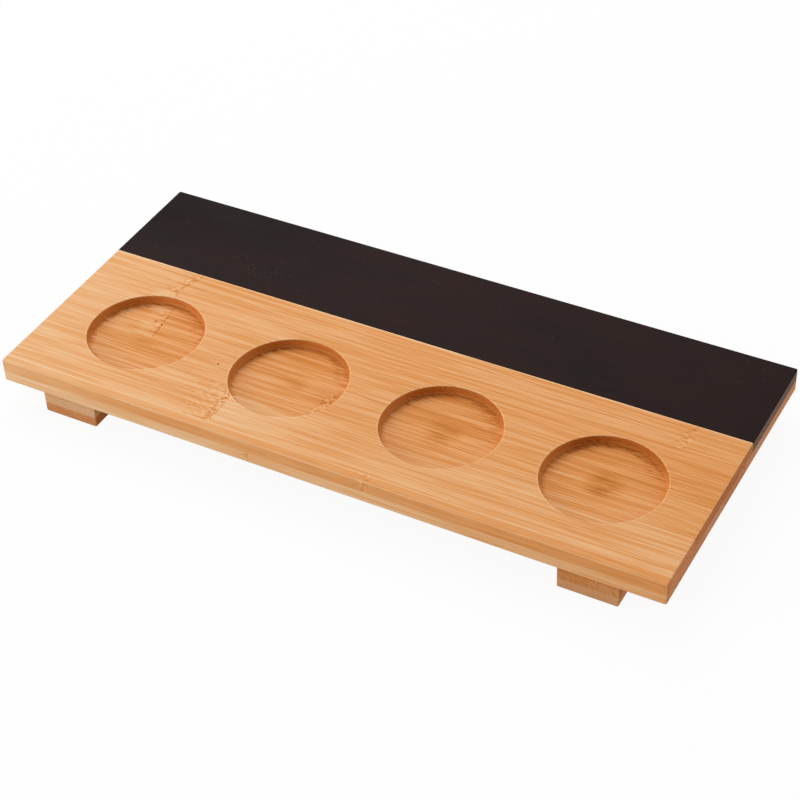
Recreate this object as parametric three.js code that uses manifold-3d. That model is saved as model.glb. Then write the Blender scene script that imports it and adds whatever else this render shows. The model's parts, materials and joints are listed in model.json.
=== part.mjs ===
// Tasting tray: a two-ply bamboo board with a row of milled glass recesses, a black writing
// panel let into a rebate along its back, and two bamboo runners underneath as feet.
// Millimetres, +Z up. The origin lies on the table under the middle of the tray,
// +X runs along the tray and +Y towards the writing panel.

import * as THREE from "three";
import { mergeVertices } from "three/addons/utils/BufferGeometryUtils.js";
import Module from "manifold-3d";

const wasm = await Module();
wasm.setup();

// Driving dimensions: the glass recesses and the bamboo left round them
const GLASS_COUNT = 4;
const RECESS_DIAMETER = 67; // a tasting glass's 65 mm foot with 2 mm of play
const RECESS_FLOOR = 1.5; // top ply left under a recess
const RECESS_COVE = 1.2; // radius that the milling cutter leaves round the floor
const RIM_EASE = 0.4; // broken edge round the mouth
const WEB_WIDTH = 27; // between neighbouring recesses
const END_MARGIN = 25.5; // from an outer recess to the end of the board
const FRONT_MARGIN = 23.5; // from the recesses to the front edge
const BACK_MARGIN = 25.5; // from the recesses to the writing panel's rebate

// Driving dimensions: the board
const TOP_PLY = 7;
const BASE_PLY = 7;
const REBATE_DEPTH = 68; // from the rebate's shoulder to the back edge
const EDGE_RADIUS = 0.7; // sanded round along every outer edge
const CORNER_RADIUS = 1.1; // the four corners, seen from above

// Driving dimensions: the slats that each ply is glued up from, from the back to the front
const TOP_SLAT_WIDTHS = [21, 35, 24, 30];
const BASE_SLAT_WIDTHS = [29, 26, 22, 31, 25];
const LEAST_SLAT_WIDTH = 4; // a narrower remainder stays on the last slat

// Driving dimensions: the writing panel
const PANEL_SHEET = 0.8; // black writing sheet on the hardboard core
const PANEL_EASE = 0.4; // round along the outer top edges
const PANEL_GAP = 0.3; // at the rebate's shoulder

// Driving dimensions: the feet
const FOOT_WIDTH = 34;
const FOOT_UPPER_PLY = 7.6;
const FOOT_SOLE = 6.4;
const FOOT_TO_END = 42.5; // from the board's end to the runner's centre line
const FOOT_INSET = 1; // from the board's front and back edges
const FOOT_RADIUS = 0.8;
const FOOT_CORNER = 1;

// Fineness of the round surfaces
const EDGE_STEPS = 4;
const CORNER_STEPS = 4;
const RECESS_STEPS = 96;
const COVE_STEPS = 3;

// Sizes and places that follow, with the board's middle at X = 0 and Y = 0
const RECESS_PITCH = RECESS_DIAMETER + WEB_WIDTH;
const ROW_LENGTH = (GLASS_COUNT - 1) * RECESS_PITCH;
const BOARD_LENGTH = ROW_LENGTH + RECESS_DIAMETER + 2 * END_MARGIN;
const DECK_DEPTH = FRONT_MARGIN + RECESS_DIAMETER + BACK_MARGIN;
const BOARD_DEPTH = DECK_DEPTH + REBATE_DEPTH;
const BOARD_THICKNESS = BASE_PLY + TOP_PLY;
const FOOT_HEIGHT = FOOT_SOLE + FOOT_UPPER_PLY;
const END = BOARD_LENGTH / 2;
const BACK = BOARD_DEPTH / 2;
const FRONT = -BACK;
const SHOULDER = FRONT + DECK_DEPTH;
const RECESS_LINE = FRONT + FRONT_MARGIN + RECESS_DIAMETER / 2;
const OVERCUT = 5; // how far a cutting or dividing solid runs past what it cuts

// Finishes
const finish = (color, roughness) =>
  new THREE.MeshStandardMaterial({ color, roughness, metalness: 0 });
const DECK_BAMBOO = finish(0xdca269, 0.55);
const BASE_BAMBOO = finish(0xd8a672, 0.58);
const FOOT_BAMBOO = finish(0xbf8a5a, 0.62);
const HARDBOARD = finish(0x6b5547, 0.85);
const WRITING_BLACK = finish(0x2b2322, 0.5);

// A closed geometry as a solid that can be cut and divided.
function solidOf(geometry) {
  const bare = geometry.index ? geometry.toNonIndexed() : geometry.clone();
  bare.deleteAttribute("normal");
  bare.deleteAttribute("uv");
  const merged = mergeVertices(bare);
  const corners = merged.index.array;
  const triangles = [];
  for (let i = 0; i < corners.length; i += 3) {
    const [a, b, c] = corners.slice(i, i + 3);
    if (a !== b && b !== c && c !== a) triangles.push(a, b, c);
  }
  return new wasm.Manifold(
    new wasm.Mesh({
      numProp: 3,
      vertProperties: new Float32Array(merged.attributes.position.array),
      triVerts: new Uint32Array(triangles),
    }),
  );
}

// A solid as a named mesh with flat facets.
function piece(name, solid, material) {
  const { vertProperties, triVerts } = solid.getMesh();
  const shared = new THREE.BufferGeometry();
  shared.setAttribute("position", new THREE.BufferAttribute(vertProperties, 3));
  shared.setIndex(new THREE.BufferAttribute(triVerts, 1));
  const geometry = shared.toNonIndexed();
  geometry.computeVertexNormals();
  const mesh = new THREE.Mesh(geometry, material);
  mesh.name = name;
  return mesh;
}

// A block between two opposite corners.
function block(low, high) {
  const size = high.map((value, axis) => value - low[axis]);
  const middle = high.map((value, axis) => (value + low[axis]) / 2);
  return solidOf(new THREE.BoxGeometry(...size).translate(...middle));
}

// A flat blank standing on Z = 0, with its corners and all its edges sanded round.
function sandedBlank(length, depth, height, edge, corner) {
  const x = length / 2 - edge;
  const y = depth / 2 - edge;
  const round = Math.max(corner - edge, edge / 10);
  const quarter = Math.PI / 2;
  const outline = new THREE.Shape();
  outline.absarc(x - round, y - round, round, 0, quarter);
  outline.absarc(round - x, y - round, round, quarter, 2 * quarter);
  outline.absarc(round - x, round - y, round, 2 * quarter, 3 * quarter);
  outline.absarc(x - round, round - y, round, 3 * quarter, 4 * quarter);
  const geometry = new THREE.ExtrudeGeometry(outline, {
    depth: height - 2 * edge,
    bevelSize: edge,
    bevelThickness: edge,
    bevelSegments: EDGE_STEPS,
    curveSegments: CORNER_STEPS,
  });
  return solidOf(geometry.translate(0, 0, edge));
}

// The cutter that mills the recess at x, in the board's own frame.
function recessCutter(x) {
  const radius = RECESS_DIAMETER / 2;
  const floor = BASE_PLY + RECESS_FLOOR;
  const profile = [new THREE.Vector2(0, floor)];
  for (let step = 0; step <= COVE_STEPS; step++) {
    const angle = (Math.PI / 2) * (step / COVE_STEPS - 1);
    const out = radius - RECESS_COVE * (1 - Math.cos(angle));
    const up = floor + RECESS_COVE * (1 + Math.sin(angle));
    profile.push(new THREE.Vector2(out, up));
  }
  profile.push(new THREE.Vector2(radius, BOARD_THICKNESS - RIM_EASE));
  profile.push(new THREE.Vector2(radius + RIM_EASE, BOARD_THICKNESS));
  profile.push(new THREE.Vector2(radius + RIM_EASE, BOARD_THICKNESS + OVERCUT));
  profile.push(new THREE.Vector2(0, BOARD_THICKNESS + OVERCUT));
  const geometry = new THREE.LatheGeometry(profile, RECESS_STEPS);
  return solidOf(geometry.rotateX(Math.PI / 2).translate(x, RECESS_LINE, 0));
}

// Slats side by side from the back until the depth is filled: the last one is ripped to fit.
function layUp(widths, back) {
  const slats = [];
  let edge = back;
  while (edge > FRONT) {
    const width = widths[slats.length % widths.length];
    const remainder = edge - width - FRONT;
    const front = remainder < LEAST_SLAT_WIDTH ? FRONT : edge - width;
    slats.push({ back: edge, front });
    edge = front;
  }
  return slats;
}

// One ply: the part of the milled board between two heights, divided into its slats.
function ply(board, name, slats, bottom, top, material) {
  return slats.map(({ back, front }, i) => {
    const low = [-END, front, bottom];
    const high = [END, back, top];
    return piece(`${name}_${i + 1}`, board.intersect(block(low, high)), material);
  });
}

// The bamboo board: two plies of slats, sanded round the edges and milled for the glasses
function bambooBoard() {
  let board = sandedBlank(BOARD_LENGTH, BOARD_DEPTH, BOARD_THICKNESS, EDGE_RADIUS, CORNER_RADIUS);
  for (let i = 0; i < GLASS_COUNT; i++) {
    board = board.subtract(recessCutter(i * RECESS_PITCH - ROW_LENGTH / 2));
  }
  const topSlats = layUp(TOP_SLAT_WIDTHS, SHOULDER);
  const baseSlats = layUp(BASE_SLAT_WIDTHS, BACK);
  const group = new THREE.Group();
  group.add(...ply(board, "top_slat", topSlats, BASE_PLY, BOARD_THICKNESS, DECK_BAMBOO));
  group.add(...ply(board, "base_slat", baseSlats, 0, BASE_PLY, BASE_BAMBOO));
  group.position.z = FOOT_HEIGHT;
  return group;
}

// The writing panel: a black sheet on a hardboard core, lying on the base ply behind the deck
function writingPanel() {
  const outline = sandedBlank(
    BOARD_LENGTH,
    BOARD_DEPTH,
    BOARD_THICKNESS,
    PANEL_EASE,
    CORNER_RADIUS,
  );
  const layer = (bottom, top) =>
    outline.intersect(block([-END, SHOULDER + PANEL_GAP, bottom], [END, BACK, top]));
  const sheetBottom = BOARD_THICKNESS - PANEL_SHEET;
  const group = new THREE.Group();
  group.add(piece("panel_core", layer(BASE_PLY, sheetBottom), HARDBOARD));
  group.add(piece("writing_sheet", layer(sheetBottom, BOARD_THICKNESS), WRITING_BLACK));
  group.position.z = FOOT_HEIGHT;
  return group;
}

// One foot: a runner from front to back, two slats side by side on one wide sole
function foot(side, x) {
  const length = BOARD_DEPTH - 2 * FOOT_INSET;
  const tallBlank = sandedBlank(
    FOOT_WIDTH,
    length,
    FOOT_HEIGHT + OVERCUT,
    FOOT_RADIUS,
    FOOT_CORNER,
  );
  const half = FOOT_WIDTH / 2;
  const slat = (left, right, bottom, top) =>
    tallBlank.intersect(block([left, FRONT, bottom], [right, BACK, top]));
  const group = new THREE.Group();
  group.add(piece(`${side}_foot_sole`, slat(-half, half, 0, FOOT_SOLE), FOOT_BAMBOO));
  group.add(piece(`${side}_foot_slat_1`, slat(-half, 0, FOOT_SOLE, FOOT_HEIGHT), FOOT_BAMBOO));
  group.add(piece(`${side}_foot_slat_2`, slat(0, half, FOOT_SOLE, FOOT_HEIGHT), FOOT_BAMBOO));
  group.position.x = x;
  return group;
}

const tray = new THREE.Group();
tray.add(bambooBoard());
tray.add(writingPanel());
tray.add(foot("left", FOOT_TO_END - END));
tray.add(foot("right", END - FOOT_TO_END));

export default tray;
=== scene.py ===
import json
import math

import bpy
from mathutils import Matrix, Vector


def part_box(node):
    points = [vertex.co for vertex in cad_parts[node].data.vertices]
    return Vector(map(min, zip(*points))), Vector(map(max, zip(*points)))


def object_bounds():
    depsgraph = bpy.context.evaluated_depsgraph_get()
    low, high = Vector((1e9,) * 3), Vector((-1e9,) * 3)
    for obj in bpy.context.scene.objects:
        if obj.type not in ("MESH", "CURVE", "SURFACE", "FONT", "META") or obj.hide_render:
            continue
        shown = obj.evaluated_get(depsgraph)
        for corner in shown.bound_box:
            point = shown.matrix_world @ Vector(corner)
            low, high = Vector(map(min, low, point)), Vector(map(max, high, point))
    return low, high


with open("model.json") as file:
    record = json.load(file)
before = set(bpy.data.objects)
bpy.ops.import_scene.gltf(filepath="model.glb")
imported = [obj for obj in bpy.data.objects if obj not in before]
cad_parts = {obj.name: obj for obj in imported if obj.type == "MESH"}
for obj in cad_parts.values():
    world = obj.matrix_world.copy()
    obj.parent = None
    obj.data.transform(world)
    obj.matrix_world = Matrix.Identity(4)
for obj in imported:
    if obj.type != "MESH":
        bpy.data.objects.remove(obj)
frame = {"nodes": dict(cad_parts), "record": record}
cad_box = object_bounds()
nodes = frame["nodes"]


# The base ply: the lower half of the board, seven strips of bamboo cane glued edge to edge
# under a press, then planed, sanded and rubbed with a satin oil. It runs under the whole tray
# and carries the deck and the writing panel.


def srgb(code):
    """An sRGB hex value as linear red, green, blue and alpha."""
    channels = [int(code[i : i + 2], 16) / 255 for i in (1, 3, 5)]
    linear = [c / 12.92 if c <= 0.04045 else ((c + 0.055) / 1.055) ** 2.4 for c in channels]
    return (*linear, 1.0)


def add(tree, kind, links=None, **settings):
    """Adds a node with its settings, then sets or links its inputs. A node gives its first output."""
    made = tree.nodes.new(kind)
    for name, value in settings.items():
        setattr(made, name, value)
    for socket, value in (links or {}).items():
        if isinstance(value, bpy.types.Node):
            value = value.outputs[0]
        if isinstance(value, bpy.types.NodeSocket):
            tree.links.new(value, made.inputs[socket])
        else:
            made.inputs[socket].default_value = value
    return made


WELD_WITHIN = 1e-5  # m
CRISP_ANGLE = math.radians(50)  # the facets of rounds and eased rims turn by less than this


def sanded_edges(piece):
    """Shades a solid smooth across its sanded rounds and keeps its flat faces flat."""
    weld = piece.modifiers.new("weld", "WELD")
    weld.merge_threshold = WELD_WITHIN
    crisp = piece.modifiers.new("crisp", "EDGE_SPLIT")
    crisp.split_angle = CRISP_ANGLE
    even = piece.modifiers.new("even", "WEIGHTED_NORMAL")
    even.keep_sharp = True
    for face in piece.data.polygons:
        face.use_smooth = True


# Bamboo, flat pressed and oiled: pale straw to orange, with darker sap strands that run along
# the cane. They show as fine streaks on a strip's faces and as dots on its sawn ends.
CANE_TONES = {
    0.00: "#f5d2a8",
    0.25: "#ebb783",
    0.42: "#e4a062",
    0.58: "#d78942",
    0.78: "#b96b29",
    1.00: "#78380f",
}
# Each pattern of the cane: length and width in mm, and how much lighter and darker it makes the
# cane. Real sap strands are about 0.4 mm wide, too fine to show, so they are drawn wider.
CANE_GRAIN = {
    "clouds": (70.0, 9.0, -0.015, 0.015),
    "strands": (55.0, 0.75, -0.06, 0.09),
    "fibres": (22.0, 0.9, -0.03, 0.03),
}
WANDER = (90.0, 22.0, 1.1)  # length and spacing of the fibres' waves, and how far they stray, in mm
BESIDE = (0.0, 1.2, 1.2)  # widths to the neighbour that a pattern is set off against
SET_OFF = {"From Min": -0.135, "From Max": 0.16}  # differences to it that are palest and darkest
STRAND_RELIEF = {"Strength": 0.2, "Distance": 0.0004}  # height in m
HALF_LENGTH = 200.0  # from the middle of the tray to its ends in mm
FACING = {"From Min": 0.6, "From Max": 0.95}  # how squarely a face looks along an axis
WORN_ARRIS_AND_HIGHLIGHT = {"From Min": 0.97, "From Max": 0.85, "To Max": -0.2}  # the same, and how much lighter
SATIN_OIL_ROUGHNESS = (0.55, 0.68)
SATIN_OIL_SPECULAR = 0.12
SATIN_OIL_IOR = 1.5
MM = 1000.0  # millimetres in a metre


def pressed_bamboo(name, tone, shift, sawn_tint, edge_darker=0.0, lengthwise=True):
    """Bamboo for one strip: its darkness at either end, where in the cane it was cut, the tint that
    its sawn ends take on, and how much darker its edges are."""
    material = bpy.data.materials.new(name)
    material.use_nodes = True
    tree = material.node_tree
    shader = tree.nodes["Principled BSDF"]
    shader.inputs["IOR"].default_value = SATIN_OIL_IOR
    shader.inputs["Specular IOR Level"].default_value = SATIN_OIL_SPECULAR

    # Millimetres along the fibres, across them and through the strip
    where = add(tree, "ShaderNodeTexCoord").outputs["Object"]
    mm = add(tree, "ShaderNodeVectorMath", {0: where, "Scale": MM}, operation="SCALE")
    place = add(tree, "ShaderNodeSeparateXYZ", {0: mm}, name="place")
    along, across = place.outputs["X"], place.outputs["Y"]
    if not lengthwise:
        along, across = across, along
    cane = add(tree, "ShaderNodeCombineXYZ", {0: along, 1: across, 2: place.outputs["Z"]})
    cane = add(tree, "ShaderNodeVectorMath", {0: cane, 1: shift}, operation="ADD", name="cane")

    # The fibres stray a little from side to side
    length, spacing, reach = WANDER
    sizes = (1 / length, 1 / spacing, 1 / spacing)
    slow = add(tree, "ShaderNodeVectorMath", {0: cane, 1: sizes}, operation="MULTIPLY")
    stray = add(tree, "ShaderNodeTexNoise", {"Vector": slow, "Scale": 1.0, "Detail": 1.0})
    stray = add(tree, "ShaderNodeMapRange", {"Value": stray, "To Min": -reach, "To Max": reach})
    stray = add(tree, "ShaderNodeCombineXYZ", {1: stray})
    grain = add(tree, "ShaderNodeVectorMath", {0: cane, 1: stray}, operation="ADD", name="grain")

    # Darkness: the strip's tone from end to end, then each pattern of the cane
    low, high = tone
    ends = {"From Min": -HALF_LENGTH, "From Max": HALF_LENGTH, "To Min": low, "To Max": high}
    dark = add(tree, "ShaderNodeMapRange", {"Value": along, **ends})
    for label, (length, width, lighter, darker) in CANE_GRAIN.items():
        sizes = (1 / length, 1 / width, 1 / width)
        drawn = add(tree, "ShaderNodeVectorMath", {0: grain, 1: sizes}, operation="MULTIPLY")
        noise = add(tree, "ShaderNodeTexNoise", {"Vector": drawn, "Scale": 1.0, "Detail": 0.0})
        # Set off against what lies beside it, so that no broad bands build up
        beside = add(tree, "ShaderNodeVectorMath", {0: drawn, 1: BESIDE}, operation="ADD")
        beside = add(tree, "ShaderNodeTexNoise", {"Vector": beside, "Scale": 1.0, "Detail": 0.0})
        noise = add(tree, "ShaderNodeMath", {0: noise, 1: beside}, operation="SUBTRACT")
        span = {**SET_OFF, "To Min": lighter, "To Max": darker}
        share = add(tree, "ShaderNodeMapRange", {"Value": noise, **span}, name=label)
        dark = add(tree, "ShaderNodeMath", {0: dark, 1: share}, operation="ADD")

    # A strip's edges can show the denser side of the cane; the feet's sides are drawn darker as painted
    # shade under the board
    facing = add(tree, "ShaderNodeNewGeometry").outputs["Normal"]
    facing = add(tree, "ShaderNodeVectorMath", {0: facing}, operation="ABSOLUTE")
    facing = add(tree, "ShaderNodeSeparateXYZ", {0: facing})
    ends_on, edge_on, flat_on = facing.outputs
    if not lengthwise:
        ends_on, edge_on = edge_on, ends_on
    edge = add(tree, "ShaderNodeMapRange", {"Value": edge_on, **FACING})
    dark = {0: edge, 1: edge_darker, 2: dark}
    dark = add(tree, "ShaderNodeMath", dark, operation="MULTIPLY_ADD")

    # The sanded arrises are rubbed paler, and a painted highlight makes them paler still
    flat = add(tree, "ShaderNodeMath", {0: ends_on, 1: edge_on}, operation="MAXIMUM")
    flat = add(tree, "ShaderNodeMath", {0: flat, 1: flat_on}, operation="MAXIMUM")
    worn_and_highlight = add(tree, "ShaderNodeMapRange", {"Value": flat, **WORN_ARRIS_AND_HIGHLIGHT}, name="worn_and_highlight")
    dark = add(tree, "ShaderNodeMath", {0: dark, 1: worn_and_highlight}, operation="ADD")

    tones = add(tree, "ShaderNodeValToRGB", {0: dark}, name="tones")
    stops = tones.color_ramp.elements
    while len(stops) < len(CANE_TONES):
        stops.new(1.0)
    for stop, (position, code) in zip(stops, CANE_TONES.items()):
        stop.position = position
        stop.color = srgb(code)

    # Sawn across, the open pores of the cane swallow some of the light
    sawn = add(tree, "ShaderNodeMapRange", {"Value": ends_on, **FACING}, name="sawn")
    pores = {"Fac": sawn, "Color1": tones, "Color2": srgb(sawn_tint)}
    pores = add(tree, "ShaderNodeMixRGB", pores, blend_type="MULTIPLY", name="pores")
    tree.links.new(pores.outputs[0], shader.inputs["Base Color"])

    strands = tree.nodes["strands"]
    lighter, darker = CANE_GRAIN["strands"][2:]
    smooth, dry = SATIN_OIL_ROUGHNESS
    span = {"From Min": lighter, "From Max": darker, "To Min": smooth, "To Max": dry}
    gloss = add(tree, "ShaderNodeMapRange", {"Value": strands, **span})
    tree.links.new(gloss.outputs[0], shader.inputs["Roughness"])
    relief = {"Height": strands, **STRAND_RELIEF}
    relief = add(tree, "ShaderNodeBump", relief, invert=True)
    tree.links.new(relief.outputs[0], shader.inputs["Normal"])
    return material


def darken(tree, amount):
    """Adds to a bamboo's darkness, before it is turned into a colour."""
    tones = tree.nodes["tones"]
    before = tones.inputs[0].links[0].from_socket
    total = add(tree, "ShaderNodeMath", {0: before, 1: amount}, operation="ADD")
    tree.links.new(total.outputs[0], tones.inputs[0])


# A knuckle is the ring where a joint of the cane was planed off. The fibres kink and tangle in a
# band on its left, most of all close to it, and a thin dark line can end the band.
NEAR_RING = (-7.0, -3.0)  # where the tangle by the ring sets in and where it is full, in mm
RING_END = {"From Min": 1.2, "From Max": -0.6}  # where the tangle ends at the ring, in mm
BAND_TANGLE = 0.55  # how much of the tangle the band has away from the ring
BAND_FULL = 0.6  # share of the band's width at which that is reached
RING_WAVE = (9.0, 2.6, 1.0)  # length, width and reach of the ring's waves in mm
KINK = (3.4, 2.4, 2.4)  # length, width and reach of a kink in the fibres in mm
TANGLE = (3.0, 0.8)  # length and width of a tangled fibre in mm
RING_FLECK = (2.2, 1.6)  # length and width of a torn fleck on the ring in mm
# Noise that counts as palest and darkest, and how much lighter and darker it makes the cane
TANGLE_TONES = {"From Min": 0.34, "From Max": 0.66, "To Min": -0.14, "To Max": 0.19}
FLECK_TONES = {"From Min": 0.42, "From Max": 0.58, "To Min": -0.12, "To Max": 0.16}
LINE_REACH = {"From Min": 1.0, "From Max": 0.2}  # where the line fades out and is full, in mm
LINE_BREAKS = {"From Min": 0.35, "From Max": 0.55}  # noise where it is broken and where it is whole
LINE_DARKER = (0.12, 0.3)  # how much darker it is there
BEYOND_REACH = 60.0  # how far a paler cane beyond the ring can reach in mm


def knuckle(material, back, front, band, tangled, line, beyond=0.0, within=0.0):
    """A knuckle from one point of a strip (along, across) to another, with its band's width, in mm,
    how strongly its tangle and its line show, and how much darker the cane is beyond the ring and
    within the band."""
    tree = material.node_tree
    place = tree.nodes["place"]
    cane = tree.nodes["cane"]
    grain = tree.nodes["grain"]
    slope = (front[0] - back[0]) / (front[1] - back[1])
    lean = {0: place.outputs["Y"], 1: -slope, 2: slope * back[1] - back[0]}
    lean = add(tree, "ShaderNodeMath", lean, operation="MULTIPLY_ADD")
    off = add(tree, "ShaderNodeMath", {0: place.outputs["X"], 1: lean}, operation="ADD")
    length, width, reach = RING_WAVE
    wave = {0: cane, 1: (1 / length, 1 / width, 1 / width)}
    wave = add(tree, "ShaderNodeVectorMath", wave, operation="MULTIPLY")
    wave = add(tree, "ShaderNodeTexNoise", {"Vector": wave, "Scale": 1.0, "Detail": 2.0})
    wave = add(tree, "ShaderNodeMapRange", {"Value": wave, "To Min": -reach, "To Max": reach})
    off = add(tree, "ShaderNodeMath", {0: off, 1: wave}, operation="ADD")

    # How tangled the fibres are: half over the whole band, fully by the ring, not beyond it
    span = {"From Min": -band, "From Max": -BAND_FULL * band, "To Max": BAND_TANGLE * tangled}
    wide = add(tree, "ShaderNodeMapRange", {"Value": off, **span}, interpolation_type="SMOOTHSTEP")
    span = {"From Min": NEAR_RING[0], "From Max": NEAR_RING[1], "To Max": tangled}
    close = add(tree, "ShaderNodeMapRange", {"Value": off, **span}, interpolation_type="SMOOTHSTEP")
    span = {"Value": off, **RING_END}
    before = add(tree, "ShaderNodeMapRange", span, interpolation_type="SMOOTHSTEP")
    much = add(tree, "ShaderNodeMath", {0: wide, 1: close}, operation="MAXIMUM")
    much = add(tree, "ShaderNodeMath", {0: much, 1: before}, operation="MULTIPLY")

    # Kinks bend the grain that the strip already has
    length, width, reach = KINK
    kink = {0: cane, 1: (1 / length, 1 / width, 1 / width)}
    kink = add(tree, "ShaderNodeVectorMath", kink, operation="MULTIPLY")
    kink = add(tree, "ShaderNodeTexNoise", {"Vector": kink, "Scale": 1.0, "Detail": 1.0})
    kink = add(tree, "ShaderNodeMapRange", {"Value": kink, "To Min": -reach, "To Max": reach})
    kink = add(tree, "ShaderNodeMath", {0: kink, 1: much}, operation="MULTIPLY")
    kink = add(tree, "ShaderNodeCombineXYZ", {1: kink})
    straight = grain.inputs[1].links[0].from_socket
    bent = add(tree, "ShaderNodeVectorMath", {0: straight, 1: kink}, operation="ADD")
    tree.links.new(bent.outputs[0], grain.inputs[1])

    # Short pale and dark ends of fibres
    length, width = TANGLE
    short = {0: grain, 1: (1 / length, 1 / width, 1 / width)}
    short = add(tree, "ShaderNodeVectorMath", short, operation="MULTIPLY")
    short = add(tree, "ShaderNodeTexNoise", {"Vector": short, "Scale": 1.0, "Detail": 1.0})
    ends = add(tree, "ShaderNodeMapRange", {"Value": short, **TANGLE_TONES})
    ends = add(tree, "ShaderNodeMath", {0: ends, 1: much}, operation="MULTIPLY")
    darken(tree, ends)

    # Flecks that the plane tore on the ring, crisper than the tangle
    length, width = RING_FLECK
    torn = {0: cane, 1: (1 / length, 1 / width, 1 / width)}
    torn = add(tree, "ShaderNodeVectorMath", torn, operation="MULTIPLY")
    torn = add(tree, "ShaderNodeTexNoise", {"Vector": torn, "Scale": 1.0, "Detail": 1.0})
    flecks = add(tree, "ShaderNodeMapRange", {"Value": torn, **FLECK_TONES})
    for factor in (close, before):
        flecks = add(tree, "ShaderNodeMath", {0: flecks, 1: factor}, operation="MULTIPLY")
    darken(tree, flecks)

    # The line, broken like the fibres
    near = add(tree, "ShaderNodeMath", {0: off}, operation="ABSOLUTE")
    span = {"Value": near, **LINE_REACH}
    thin = add(tree, "ShaderNodeMapRange", span, interpolation_type="SMOOTHSTEP")
    span = {**LINE_BREAKS, "To Min": LINE_DARKER[0] * line, "To Max": LINE_DARKER[1] * line}
    broken = add(tree, "ShaderNodeMapRange", {"Value": short, **span})
    thin = add(tree, "ShaderNodeMath", {0: thin, 1: broken}, operation="MULTIPLY")
    darken(tree, thin)

    # The band, and the next length of the cane, can be paler or darker
    span = {"From Min": BEYOND_REACH, "From Max": 0.0, "To Max": beyond}
    fresh = add(tree, "ShaderNodeMapRange", {"Value": off, **span})
    span = {"From Min": -band, "From Max": -BAND_FULL * band, "To Max": within}
    bleached = add(tree, "ShaderNodeMapRange", {"Value": off, **span})
    both = add(tree, "ShaderNodeMix", {0: before, 2: fresh, 3: bleached})
    darken(tree, both)


JOINT_LINE = (0.5, 0.1)  # width in mm of the line along a glued joint, and how much darker it is


def edge_line(tree, axis, edge, inward, line):
    """Draws a line along one side of a strip, from the side inwards along the axis."""
    width, darker = line
    span = {"From Min": edge + inward * width, "From Max": edge, "To Max": darker}
    across = tree.nodes["place"].outputs[axis]
    darken(tree, add(tree, "ShaderNodeMapRange", {"Value": across, **span}))


# Darkness of each strip at its left end and at its right end, from the back to the front
BASE_TONES = [
    (0.26, 0.33),
    (0.36, 0.31),
    (0.24, 0.28),
    (0.32, 0.4),
    (0.27, 0.25),
    (0.35, 0.37),
    (0.18, 0.36),
]
BASE_SAWN = "#dac6bd"
BASE_CUTS = ((0.0, 0.0, 90.0), (53.0, 17.0, 31.0))  # first strip's place in the cane, and the step, in mm
BASE_KNUCKLE = ((-38.0, -70.0), (-40.0, -92.0), 9.0, 0.5, 0.5)
AT_EDGE = 1.0  # a strip that comes so near to the edge of the board, in mm, ends there
board_front = MM * cad_box[0][1]
board_back = MM * cad_box[1][1]
base_slats = sorted(name for name in nodes if name.startswith("base_slat"))
for number, name in enumerate(base_slats):
    shift = [first + number * step for first, step in zip(*BASE_CUTS)]
    bamboo = pressed_bamboo(f"bamboo_{name}", BASE_TONES[number], shift, BASE_SAWN)
    low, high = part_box(name)
    if MM * low.y > board_front + AT_EDGE:
        edge_line(bamboo.node_tree, "Y", MM * low.y, 1, JOINT_LINE)
    if MM * high.y < board_back - AT_EDGE:
        edge_line(bamboo.node_tree, "Y", MM * high.y, -1, JOINT_LINE)
    if name == base_slats[-1]:
        knuckle(bamboo, *BASE_KNUCKLE)
    piece = nodes[name]
    piece.data.materials.clear()
    piece.data.materials.append(bamboo)
    sanded_edges(piece)


# The deck: the upper half of the board in front of the writing panel, five strips of the same
# bamboo, the front one ripped narrow. Knuckles fall where they happen to lie in each strip.
# On the deck every strip is lighter at its left end, partly the cane's own tone and partly a painted
# sheen
DECK_TONES = [(0.385, 0.45), (0.36, 0.485), (0.37, 0.45), (0.35, 0.365), (0.37, 0.49)]
DECK_CUTS = ((0.0, 0.0, 0.0), (71.0, 23.0, 37.0))
LEFT_END_PAINTED_SHEEN = {"From Min": -130.0, "From Max": -190.0, "To Max": -0.07}  # painted sheen, the deck lighter towards its left end: mm, and how much lighter
# Tint of each strip's sawn ends; the two strips at the back are darker, as painted shade at the back of
# the ends
DECK_SAWN_TINTS_AND_SHADE = ["#d0ad7d", "#d0ad7d", "#d4b184", "#e4bd98", "#e4bd98"]
# The knuckles in each strip: both ends of the ring in mm, its band, and how strongly it shows
DECK_KNUCKLES = {
    "top_slat_1": [
        ((-138.5, 24.0), (-146.0, 3.0), 12.0, 0.7, 0.4),
        ((171.0, 24.0), (169.0, 3.0), 14.0, 0.6, 0.0),
    ],
    "top_slat_2": [((-144.0, 3.0), (-139.0, -32.0), 15.0, 0.45, 0.7, 0.0, -0.09)],
    "top_slat_3": [((-17.0, -32.0), (-22.0, -56.0), 7.0, 0.85, 0.0)],
    "top_slat_4": [((-68.0, -56.0), (-67.0, -86.0), 26.0, 1.0, 0.1, -0.1)],
    "top_slat_5": [((33.0, -86.0), (33.0, -92.0), 16.0, 0.6, 0.1)],
}
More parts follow.
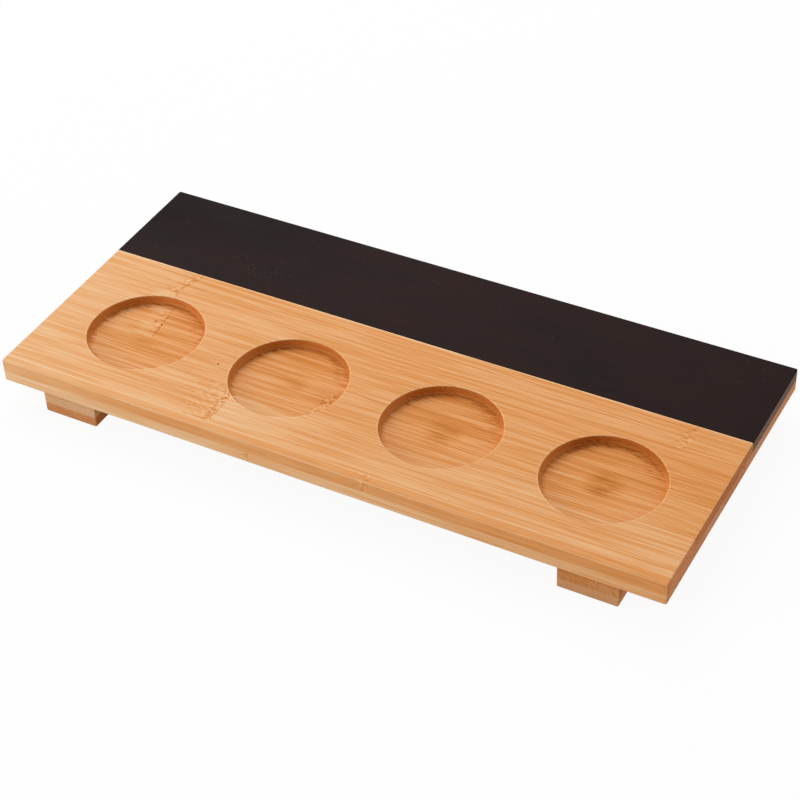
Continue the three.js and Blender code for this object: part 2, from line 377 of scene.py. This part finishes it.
# Small dark pin holes in the cane, along and across in mm
PIN_HOLES = {
    "top_slat_2": [(-147.6, -3.0), (-145.5, -19.0), (-140.7, -20.5)],
    "top_slat_3": [(-88.3, -41.9)],
}
PIN_HOLE = {"From Min": 1.0, "From Max": 0.3, "To Max": 0.45}  # mm from its middle, and how much darker
FRONT_EDGE_DARKER = 0.01
FRONT_STRANDS = 0.45  # how much the strands count in the front strip, the dense skin of the cane
SHOULDER_PAINTED_HIGHLIGHT = (1.2, -0.35)  # a painted highlight along the arris by the writing panel
FRONT_JOINT_LINE = (1.2, -0.3)  # the pale skin of the cane along the narrow front strip
deck_bamboo = {}
top_slats = sorted(name for name in nodes if name.startswith("top_slat"))
back_lines = {top_slats[0]: SHOULDER_PAINTED_HIGHLIGHT, top_slats[-1]: FRONT_JOINT_LINE}
for number, name in enumerate(top_slats):
    shift = [first + number * step for first, step in zip(*DECK_CUTS)]
    edge_darker = FRONT_EDGE_DARKER if name == top_slats[-1] else 0.0
    bamboo = pressed_bamboo(f"bamboo_{name}", DECK_TONES[number], shift, DECK_SAWN_TINTS_AND_SHADE[number], edge_darker)
    for ring in DECK_KNUCKLES[name]:
        knuckle(bamboo, *ring)
    tree = bamboo.node_tree
    place = tree.nodes["place"]
    # Painted sheen: the deck lighter towards its left end
    darken(tree, add(tree, "ShaderNodeMapRange", {"Value": place.outputs["X"], **LEFT_END_PAINTED_SHEEN}))
    low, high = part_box(name)
    edge_line(tree, "Y", MM * high.y, -1, back_lines.get(name, JOINT_LINE))
    if name not in top_slats[-2:]:
        edge_line(tree, "Y", MM * low.y, 1, JOINT_LINE)
    if name == top_slats[-1]:
        dense = {0: tree.nodes["strands"], 1: FRONT_STRANDS - 1.0}
        darken(tree, add(tree, "ShaderNodeMath", dense, operation="MULTIPLY"))
    for hole in PIN_HOLES.get(name, []):
        gap = {0: place.outputs["X"], 1: hole[0]}
        gap = add(tree, "ShaderNodeMath", gap, operation="SUBTRACT")
        side = {0: place.outputs["Y"], 1: hole[1]}
        side = add(tree, "ShaderNodeMath", side, operation="SUBTRACT")
        gap = add(tree, "ShaderNodeCombineXYZ", {0: gap, 1: side})
        gap = add(tree, "ShaderNodeVectorMath", {0: gap}, operation="LENGTH").outputs["Value"]
        darken(tree, add(tree, "ShaderNodeMapRange", {"Value": gap, **PIN_HOLE}))
    deck_bamboo[name] = bamboo
    piece = nodes[name]
    piece.data.materials.clear()
    piece.data.materials.append(bamboo)
    sanded_edges(piece)


# The glass recesses: four round pockets milled into the deck after it was glued up. The cutter
# scorched the walls, opened the strands of the floor and left a burn where it dwelt in the middle.
# Painted shade darkens two quarters of each wall and the back of each floor, the foot of each wall
# is painted lighter, and a painted highlight rims each recess.
recess_boxes = [
    opening["box_m"]
    for opening in frame["record"]["physics"]["openings"]
    if opening["name"].count("_") == 2  # the box round a recess's middle has the short name
]
recess_centres = [Vector(low).lerp(Vector(high), 0.5) * MM for low, high in recess_boxes]
recess_pitch = recess_centres[1].x - recess_centres[0].x
deck_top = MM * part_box("top_slat_2")[1].z
RECESS_RADIUS = 33.5  # mm
RECESS_DEPTH = 5.5  # mm
RECESS_MOUTH = 0.6  # mm beyond the wall within which the eased rim lies
SCORCH_DEPTH = (0.4, 0.6)  # mm below the deck where the scorch sets in and where it is full
WALL_FADE = (1.6, 0.3)  # mm inside the wall where its scorch sets in and where it is full
WALL_TURN = {"From Min": 20.0, "From Max": 30.0}  # mm sideways, where the wall turns across the fibres
WALL_ALONG = (0.58, 0.72)  # where the wall runs along the fibres, at the first recess and the last
WALL_ACROSS = 0.61  # where it cuts across them
WALL_QUARTERS_PAINTED_SHADE = 0.14  # painted shade in the back-left and front-right quarters of the wall
WALL_QUARTERS_SHADE_FOCUS = 2.0  # how much this gathers in the middle of the quarters
WALL_FOOT = (3.5, 5.0)  # mm below the deck where the foot of the wall sets in and where it is full
WALL_FOOT_PAINTED_LIGHT = -0.05  # painted light: the foot of the wall is drawn a little lighter, against its shade in the corner
TORN_FOOT = (8.0, 0.9)  # length and width in mm of the fibres torn at the foot of the wall
TORN_NOISE = {"From Min": 0.45, "From Max": 0.65}  # where none is torn and where all are
# They reach 3 mm as a rule, and 9 mm at the back right
TORN_REACH = {"From Min": 2.0, "From Max": 18.0, "To Min": 3.0, "To Max": 9.0}
WALL_STRANDS = 0.55  # how much the strands count on the scorched walls
FLOOR_RISE = (0.8, 0.2)  # mm above the floor where its looks set in and where they are full
FLOOR_DARKER = (0.1, 0.02)  # at the left end and at the right end
FLOOR_BACK_PAINTED_SHADE = 0.06  # painted shade of the back wall, darker towards the back
FLOOR_STRANDS = 0.15  # how much more the opened strands count on the floor
BURN = {"From Min": 14.0, "From Max": 2.0, "To Max": 0.29}  # mm from its middle, and how much darker
BURN_STREAK = (12.0, 2.4)  # length and width in mm of a streak in the burn
BURN_STREAK_TONES = {"From Min": 0.4, "From Max": 0.62, "To Min": 0.4, "To Max": 1.0}
BURN_FIRST = 0.25  # the first recess was milled with a fresh cutter and burnt least
RIM_START = 0.05  # mm outside the wall
RIM_WIDTH = 0.9  # mm
RIM_PAINTED_HIGHLIGHT = -0.08
for name in ("top_slat_2", "top_slat_3", "top_slat_4"):
    tree = deck_bamboo[name].node_tree
    place = tree.nodes["place"]
    x = {0: place.outputs["X"], 1: recess_centres[0].x}
    x = add(tree, "ShaderNodeMath", x, operation="SUBTRACT")
    x = {0: x, 1: recess_pitch / 2, 2: -recess_pitch / 2}
    x = add(tree, "ShaderNodeMath", x, operation="WRAP")
    y = {0: place.outputs["Y"], 1: recess_centres[0].y}
    y = add(tree, "ShaderNodeMath", y, operation="SUBTRACT")
    out = add(tree, "ShaderNodeCombineXYZ", {0: x, 1: y})
    out = add(tree, "ShaderNodeVectorMath", {0: out}, operation="LENGTH").outputs["Value"]
    span = {"From Min": deck_top - SCORCH_DEPTH[0], "From Max": deck_top - SCORCH_DEPTH[1]}
    below = add(tree, "ShaderNodeMapRange", {"Value": place.outputs["Z"], **span})
    inside = {0: out, 1: RECESS_RADIUS + RECESS_MOUTH}
    inside = add(tree, "ShaderNodeMath", inside, operation="LESS_THAN")
    below = add(tree, "ShaderNodeMath", {0: below, 1: inside}, operation="MULTIPLY")

    # Walls, scorched all round, so that no pale arris or open pores show on them
    worn_and_highlight = {0: tree.nodes["worn_and_highlight"], 1: inside}
    worn_and_highlight = add(tree, "ShaderNodeMath", worn_and_highlight, operation="MULTIPLY")
    worn_and_highlight = add(tree, "ShaderNodeMath", {0: worn_and_highlight, 1: -1.0}, operation="MULTIPLY")
    darken(tree, worn_and_highlight)
    length, width = TORN_FOOT
    torn = {0: tree.nodes["cane"], 1: (1 / length, 1 / width, 1 / width)}
    torn = add(tree, "ShaderNodeVectorMath", torn, operation="MULTIPLY")
    torn = add(tree, "ShaderNodeTexNoise", {"Vector": torn, "Scale": 1.0, "Detail": 1.0})
    back_right = add(tree, "ShaderNodeMath", {0: x, 1: y}, operation="MINIMUM")
    reach = add(tree, "ShaderNodeMapRange", {"Value": back_right, **TORN_REACH})
    torn = add(tree, "ShaderNodeMapRange", {"Value": torn, **TORN_NOISE, "To Max": reach})
    torn = add(tree, "ShaderNodeMath", {0: out, 1: torn}, operation="ADD")
    span = {"From Min": RECESS_RADIUS - WALL_FADE[0], "From Max": RECESS_RADIUS - WALL_FADE[1]}
    wall = add(tree, "ShaderNodeMapRange", {"Value": torn, **span}, interpolation_type="SMOOTHERSTEP")
    wall = add(tree, "ShaderNodeMath", {0: wall, 1: below}, operation="MULTIPLY")
    first, last = WALL_ALONG
    span = {"From Min": recess_centres[0].x, "From Max": recess_centres[-1].x}
    span = {**span, "To Min": first, "To Max": last}
    scorched = add(tree, "ShaderNodeMapRange", {"Value": place.outputs["X"], **span})
    sideways = add(tree, "ShaderNodeMath", {0: x}, operation="ABSOLUTE")
    span = {**WALL_TURN, "To Min": scorched, "To Max": WALL_ACROSS}
    scorched = add(tree, "ShaderNodeMapRange", {"Value": sideways, **span})
    # Painted shade: one at the back left and the front right of the wall, and nought in the other two
    # quarters
    shade_quarters = add(tree, "ShaderNodeMath", {0: x, 1: y}, operation="MULTIPLY")
    shade_quarters = {0: shade_quarters, 1: -2.0 / RECESS_RADIUS**2}
    shade_quarters = add(tree, "ShaderNodeMath", shade_quarters, operation="MULTIPLY", use_clamp=True)
    shade_quarters = add(tree, "ShaderNodeMath", {0: shade_quarters, 1: WALL_QUARTERS_SHADE_FOCUS}, operation="POWER")
    shade_quarters = {0: shade_quarters, 1: WALL_QUARTERS_PAINTED_SHADE, 2: scorched}
    scorched = add(tree, "ShaderNodeMath", shade_quarters, operation="MULTIPLY_ADD")
    scorched = {0: tree.nodes["strands"], 1: WALL_STRANDS, 2: scorched}
    scorched = add(tree, "ShaderNodeMath", scorched, operation="MULTIPLY_ADD")
    span = {"From Min": deck_top - WALL_FOOT[0], "From Max": deck_top - WALL_FOOT[1]}
    span = {**span, "To Max": WALL_FOOT_PAINTED_LIGHT}
    foot = add(tree, "ShaderNodeMapRange", {"Value": place.outputs["Z"], **span})
    scorched = add(tree, "ShaderNodeMath", {0: scorched, 1: foot}, operation="ADD")
    bare = tree.nodes["tones"].inputs[0].links[0].from_socket
    scorched = add(tree, "ShaderNodeMix", {0: wall, 2: bare, 3: scorched})
    tree.links.new(scorched.outputs[0], tree.nodes["tones"].inputs[0])
    pores = {0: tree.nodes["sawn"], 1: inside}
    pores = add(tree, "ShaderNodeMath", pores, operation="SUBTRACT", use_clamp=True)
    tree.links.new(pores.outputs[0], tree.nodes["pores"].inputs["Fac"])

    # Floor
    floor_top = deck_top - RECESS_DEPTH
    span = {"From Min": floor_top + FLOOR_RISE[0], "From Max": floor_top + FLOOR_RISE[1]}
    floor_part = add(tree, "ShaderNodeMapRange", {"Value": place.outputs["Z"], **span})
    left, right = FLOOR_DARKER
    span = {"From Min": -HALF_LENGTH, "From Max": HALF_LENGTH, "To Min": left, "To Max": right}
    deeper = add(tree, "ShaderNodeMapRange", {"Value": place.outputs["X"], **span})
    deeper = {0: y, 1: FLOOR_BACK_PAINTED_SHADE / RECESS_RADIUS, 2: deeper}
    deeper = add(tree, "ShaderNodeMath", deeper, operation="MULTIPLY_ADD")
    open_strands = {0: tree.nodes["strands"], 1: FLOOR_STRANDS, 2: deeper}
    open_strands = add(tree, "ShaderNodeMath", open_strands, operation="MULTIPLY_ADD")
    open_strands = {0: open_strands, 1: floor_part}
    open_strands = add(tree, "ShaderNodeMath", open_strands, operation="MULTIPLY")
    darken(tree, open_strands)

    # Burn in the middle of the floor
    length, width = BURN_STREAK
    sizes = (1 / length, 1 / width, 1 / width)
    streak = {0: tree.nodes["cane"], 1: sizes}
    streak = add(tree, "ShaderNodeVectorMath", streak, operation="MULTIPLY")
    streak = add(tree, "ShaderNodeTexNoise", {"Vector": streak, "Scale": 1.0, "Detail": 2.0})
    streak = add(tree, "ShaderNodeMapRange", {"Value": streak, **BURN_STREAK_TONES})
    burn = add(tree, "ShaderNodeMapRange", {"Value": out, **BURN}, interpolation_type="SMOOTHSTEP")
    span = {"From Min": recess_centres[0].x, "From Max": recess_centres[-1].x, "To Min": BURN_FIRST}
    worse = add(tree, "ShaderNodeMapRange", {"Value": place.outputs["X"], **span})
    for factor in (streak, worse, floor_part):
        burn = add(tree, "ShaderNodeMath", {0: burn, 1: factor}, operation="MULTIPLY")
    darken(tree, burn)

    # Rim, broken with fine paper; a painted highlight makes the deck round it paler
    rim = {0: out, 1: RECESS_RADIUS + RIM_START + RIM_WIDTH / 2, 2: RIM_WIDTH / 2}
    rim = add(tree, "ShaderNodeMath", rim, operation="COMPARE")
    rim = add(tree, "ShaderNodeMath", {0: rim, 1: RIM_PAINTED_HIGHLIGHT}, operation="MULTIPLY")
    darken(tree, rim)


# The writing panel's core: hardboard, pressed from brown wood fibre and sawn to fit the rebate
# behind the deck. It is glued to the base ply, and its edge shows at the ends and the back.
core = nodes["panel_core"]
BROWNS = {0.25: "#4b372d", 0.75: "#8e6f5e"}
FIBRE_CLUMP = (2.4, 0.6)  # width and height in mm of the clumps in its sawn edge
FIBRE_RELIEF = {"Strength": 0.4, "Distance": 0.0003}  # height in m
HARDBOARD_ROUGHNESS = 0.85
HARDBOARD_SPECULAR = 0.15
# Hardboard: a dull brown, mottled by its clumps of fibre and rough where it was sawn
hardboard = bpy.data.materials.new("hardboard")
hardboard.use_nodes = True
tree = hardboard.node_tree
shader = tree.nodes["Principled BSDF"]
shader.inputs["Roughness"].default_value = HARDBOARD_ROUGHNESS
shader.inputs["Specular IOR Level"].default_value = HARDBOARD_SPECULAR
where = add(tree, "ShaderNodeTexCoord").outputs["Object"]
wide, tall = FIBRE_CLUMP
clumps = {0: where, 1: (MM / wide, MM / wide, MM / tall)}
clumps = add(tree, "ShaderNodeVectorMath", clumps, operation="MULTIPLY")
clumps = {"Vector": clumps, "Scale": 1.0, "Detail": 4.0, "Roughness": 0.65}
clumps = add(tree, "ShaderNodeTexNoise", clumps)
brown = add(tree, "ShaderNodeValToRGB", {0: clumps})
for stop, (position, code) in zip(brown.color_ramp.elements, BROWNS.items()):
    stop.position = position
    stop.color = srgb(code)
tree.links.new(brown.outputs[0], shader.inputs["Base Color"])
relief = add(tree, "ShaderNodeBump", {"Height": clumps, **FIBRE_RELIEF})
tree.links.new(relief.outputs[0], shader.inputs["Normal"])
core.data.materials.clear()
core.data.materials.append(hardboard)
sanded_edges(core)


# The writing sheet: a thin sheet with a black chalk lacquer, pressed onto the hardboard. The
# lacquer is warm, nearly matt and evenly sprayed, with a few chalk specks and wiped smears, and
# painted shade darkens it towards the back left.
sheet = nodes["writing_sheet"]
BLACKS = {0.3: "#160a09", 0.7: "#2b1b19"}
CHALK = "#b9aaa4"
SMEAR = (70.0, 22.0)  # length and width in mm of a wiped smear
SHEET_SHADED_CORNER = ((-60.0, -190.0), (35.0, 80.0))  # where painted shade darkens the sheet, towards the back left, along and across
SHEET_CORNER_PAINTED_SHADE = 0.3
SPECK_SPACING = 1.8  # mm
SPECK = {"From Min": 0.28, "From Max": 0.1, "To Max": 0.09}  # spacings from its middle, and its chalk
DUSTY_PLACE = (-106.0, 44.0)  # middle of the place where dust has gathered, in mm
DUSTY_REACH = (26.0, 11.0)  # how far the dust reaches along and across, in mm
# Share of the specks that are left out, from the middle of the dusty place to beyond it
SPECKS_LEFT_OUT = {"From Min": 0.2, "From Max": 1.3, "To Min": 0.45, "To Max": 0.985}
SPRAY_GRAIN = 0.9  # mm; a real spray grain of 0.2 mm is too fine to show
SPRAY_RELIEF = {"Strength": 0.12, "Distance": 0.0002}  # height in m
# Roughness from the wiped places to the smears
LACQUER_ROUGHNESS = {"From Min": 0.3, "From Max": 0.7, "To Min": 0.55, "To Max": 0.68}
LACQUER_SPECULAR = 0.05
lacquer = bpy.data.materials.new("black_chalk_lacquer")
lacquer.use_nodes = True
tree = lacquer.node_tree
shader = tree.nodes["Principled BSDF"]
shader.inputs["Specular IOR Level"].default_value = LACQUER_SPECULAR
where = add(tree, "ShaderNodeTexCoord").outputs["Object"]
long, wide = SMEAR
smear = {0: where, 1: (MM / long, MM / wide, MM / wide)}
smear = add(tree, "ShaderNodeVectorMath", smear, operation="MULTIPLY")
smear = {"Vector": smear, "Scale": 1.0, "Detail": 4.0, "Roughness": 0.6}
smear = add(tree, "ShaderNodeTexNoise", smear)
spot = add(tree, "ShaderNodeSeparateXYZ", {0: where})
# Painted shade: the sheet darker towards its back-left corner
along, across = SHEET_SHADED_CORNER
span = {"From Min": along[0] / MM, "From Max": along[1] / MM, "To Max": -SHEET_CORNER_PAINTED_SHADE}
shaded_corner = add(tree, "ShaderNodeMapRange", {"Value": spot.outputs["X"], **span})
span = {"From Min": across[0] / MM, "From Max": across[1] / MM}
behind = add(tree, "ShaderNodeMapRange", {"Value": spot.outputs["Y"], **span})
wiped = {0: shaded_corner, 1: behind, 2: smear}
wiped = add(tree, "ShaderNodeMath", wiped, operation="MULTIPLY_ADD")
black = add(tree, "ShaderNodeValToRGB", {0: wiped})
for stop, (position, code) in zip(black.color_ramp.elements, BLACKS.items()):
    stop.position = position
    stop.color = srgb(code)
specks = {"Vector": where, "Scale": MM / SPECK_SPACING}
specks = add(tree, "ShaderNodeTexVoronoi", specks)
dust = add(tree, "ShaderNodeMapRange", {"Value": specks, **SPECK})
chance = add(tree, "ShaderNodeSeparateColor", {0: specks.outputs["Color"]})
off_x, off_y = DUSTY_PLACE
reach_x, reach_y = DUSTY_REACH
dusty = {0: where, 1: (-off_x / MM, -off_y / MM, 0.0)}
dusty = add(tree, "ShaderNodeVectorMath", dusty, operation="ADD")
dusty = {0: dusty, 1: (MM / reach_x, MM / reach_y, 0.0)}
dusty = add(tree, "ShaderNodeVectorMath", dusty, operation="MULTIPLY")
dusty = add(tree, "ShaderNodeVectorMath", {0: dusty}, operation="LENGTH").outputs["Value"]
rare = add(tree, "ShaderNodeMapRange", {"Value": dusty, **SPECKS_LEFT_OUT})
chance = add(tree, "ShaderNodeMath", {0: chance, 1: rare}, operation="GREATER_THAN")
dust = add(tree, "ShaderNodeMath", {0: dust, 1: chance}, operation="MULTIPLY")
chalk = {"Fac": dust, "Color1": black, "Color2": srgb(CHALK)}
chalk = add(tree, "ShaderNodeMixRGB", chalk)
tree.links.new(chalk.outputs[0], shader.inputs["Base Color"])
spray = {"Vector": where, "Scale": MM / SPRAY_GRAIN, "Detail": 2.0}
spray = add(tree, "ShaderNodeTexNoise", spray)
matt = add(tree, "ShaderNodeMapRange", {"Value": smear, **LACQUER_ROUGHNESS})
tree.links.new(matt.outputs[0], shader.inputs["Roughness"])
relief = add(tree, "ShaderNodeBump", {"Height": spray, **SPRAY_RELIEF})
tree.links.new(relief.outputs[0], shader.inputs["Normal"])
sheet.data.materials.clear()
sheet.data.materials.append(lacquer)
sanded_edges(sheet)


# The feet: two runners from front to back, each a wide sole with two strips side by side on it,
# all bamboo, glued under the board. Their sawn ends face the front.
FOOT_TONES = {  # darkness of each strip and sole
    "left_foot_slat_1": 0.16,
    "left_foot_slat_2": 0.14,
    "left_foot_sole": 0.42,
    "right_foot_slat_1": 0.47,
    "right_foot_slat_2": 0.42,
    "right_foot_sole": 0.27,
}
FOOT_SAWN = "#e9e1de"
FOOT_CUTS = ((0.0, 0.0, 300.0), (29.0, 13.0, 19.0))
# Painted shade: the sides of the feet darker, under the board
FOOT_SIDE_PAINTED_SHADE = 0.25
UNDER_BOARD_GLUE_AND_SHADE = (3.0, 0.2)  # a glue line and painted shade in the corner under the board
for number, (name, tone) in enumerate(FOOT_TONES.items()):
    shift = [first + number * step for first, step in zip(*FOOT_CUTS)]
    tones = (tone, tone)
    bamboo = pressed_bamboo(f"bamboo_{name}", tones, shift, FOOT_SAWN, FOOT_SIDE_PAINTED_SHADE, lengthwise=False)
    low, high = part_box(name)
    if "slat" in name:
        edge_line(bamboo.node_tree, "Z", MM * high.z, -1, UNDER_BOARD_GLUE_AND_SHADE)
    if name.endswith("slat_1"):
        edge_line(bamboo.node_tree, "X", MM * high.x, -1, JOINT_LINE)
    if name.endswith("slat_2"):
        edge_line(bamboo.node_tree, "X", MM * low.x, 1, JOINT_LINE)
    piece = nodes[name]
    piece.data.materials.clear()
    piece.data.materials.append(bamboo)
    sanded_edges(piece)


# The table: a plain white sheet of paper that the tray stands on. The camera sees it as white,
# and it keeps a faint shadow of the tray.


def seen_directly(tree):
    """One where the camera looks, straight or by way of gloss or glass, and nought for other light."""
    ray = add(tree, "ShaderNodeLightPath")
    seen = {0: ray.outputs["Is Camera Ray"], 1: ray.outputs["Is Glossy Ray"]}
    seen = add(tree, "ShaderNodeMath", seen, operation="MAXIMUM")
    seen = {0: seen, 1: ray.outputs["Is Transmission Ray"]}
    return add(tree, "ShaderNodeMath", seen, operation="MAXIMUM")


PAPER_HALF = 4.0  # half the width of the sheet in m
PAPER_COLOUR = "#f6f6f6"
PAPER_ROUGHNESS = 0.9
PAPER_WHITENESS = 0.93  # how much of the paper the camera sees as plain white
paper_mesh = bpy.data.meshes.new("paper")
corners = [(-1, -1), (1, -1), (1, 1), (-1, 1)]
paper_mesh.from_pydata([(PAPER_HALF * x, PAPER_HALF * y, 0.0) for x, y in corners], [], [(0, 1, 2, 3)])
paper = bpy.data.objects.new("paper", paper_mesh)
bpy.context.scene.collection.objects.link(paper)
white_paper = bpy.data.materials.new("white_paper")
white_paper.use_nodes = True
tree = white_paper.node_tree
lit = tree.nodes["Principled BSDF"]
lit.inputs["Base Color"].default_value = srgb(PAPER_COLOUR)
lit.inputs["Roughness"].default_value = PAPER_ROUGHNESS
lit.inputs["Specular IOR Level"].default_value = 0.0
seen = {0: seen_directly(tree), 1: PAPER_WHITENESS}
seen = add(tree, "ShaderNodeMath", seen, operation="MULTIPLY")
white = add(tree, "ShaderNodeEmission", {"Color": srgb("#ffffff"), "Strength": 1.0})
mixed = add(tree, "ShaderNodeMixShader", {0: seen, 1: lit, 2: white})
tree.links.new(mixed.outputs[0], tree.nodes["Material Output"].inputs["Surface"])
paper.data.materials.append(white_paper)


# The light: a white room, a wide soft lamp above on the left and behind, and two weaker cards, in
# front on the left and on the right, so that the right end and the recesses' walls lie in shade.
ROOM = 0.4  # strength of the light that the white room gives from all round
# Each lamp's place in m, its width in m and its watts
LAMPS = {
    "softbox": ((-1.3, 1.4, 2.2), 2.4, 52.0),
    "front_card": ((-2.0, -1.7, 1.0), 1.6, 31.0),
    "right_card": ((2.1, 1.0, 0.9), 1.4, 6.6),
}
world = bpy.data.worlds.new("white_room")
bpy.context.scene.world = world
world.use_nodes = True
tree = world.node_tree
room = tree.nodes["Background"]
room.inputs["Color"].default_value = srgb("#ffffff")
strength = add(tree, "ShaderNodeMapRange", {"Value": seen_directly(tree), "To Min": ROOM})
tree.links.new(strength.outputs[0], room.inputs["Strength"])
for name, (position, size, watts) in LAMPS.items():
    lamp_data = bpy.data.lights.new(name, "AREA")
    lamp_data.shape = "DISK"
    lamp_data.size = size
    lamp_data.energy = watts
    lamp = bpy.data.objects.new(name, lamp_data)
    lamp.location = position
    lamp.rotation_euler = (-Vector(position)).to_track_quat("-Z", "Y").to_euler()
    bpy.context.scene.collection.objects.link(lamp)


# The camera: on the right in front of the tray and above it, with a long lens, rolled a little.
# It stands 1.1 m away, so that the lines of the tray run together only slightly. Metres, lens in mm.
EYE = Vector((0.4413, -0.7635, 0.7428))
AIM = Vector((0.0172, -0.0255, 0.028))
ROLL = math.radians(-2.634)
LENS = 92.67
SENSOR = 36.0
camera_data = bpy.data.cameras.new("camera")
camera_data.sensor_width = SENSOR
camera_data.lens = LENS
camera = bpy.data.objects.new("camera", camera_data)
look = (AIM - EYE).to_track_quat("-Z", "Y").to_matrix().to_4x4()
camera.matrix_world = Matrix.Translation(EYE) @ look @ Matrix.Rotation(ROLL, 4, "Z")
bpy.context.scene.collection.objects.link(camera)
bpy.context.scene.camera = camera
bpy.context.scene.view_settings.view_transform = "Standard"
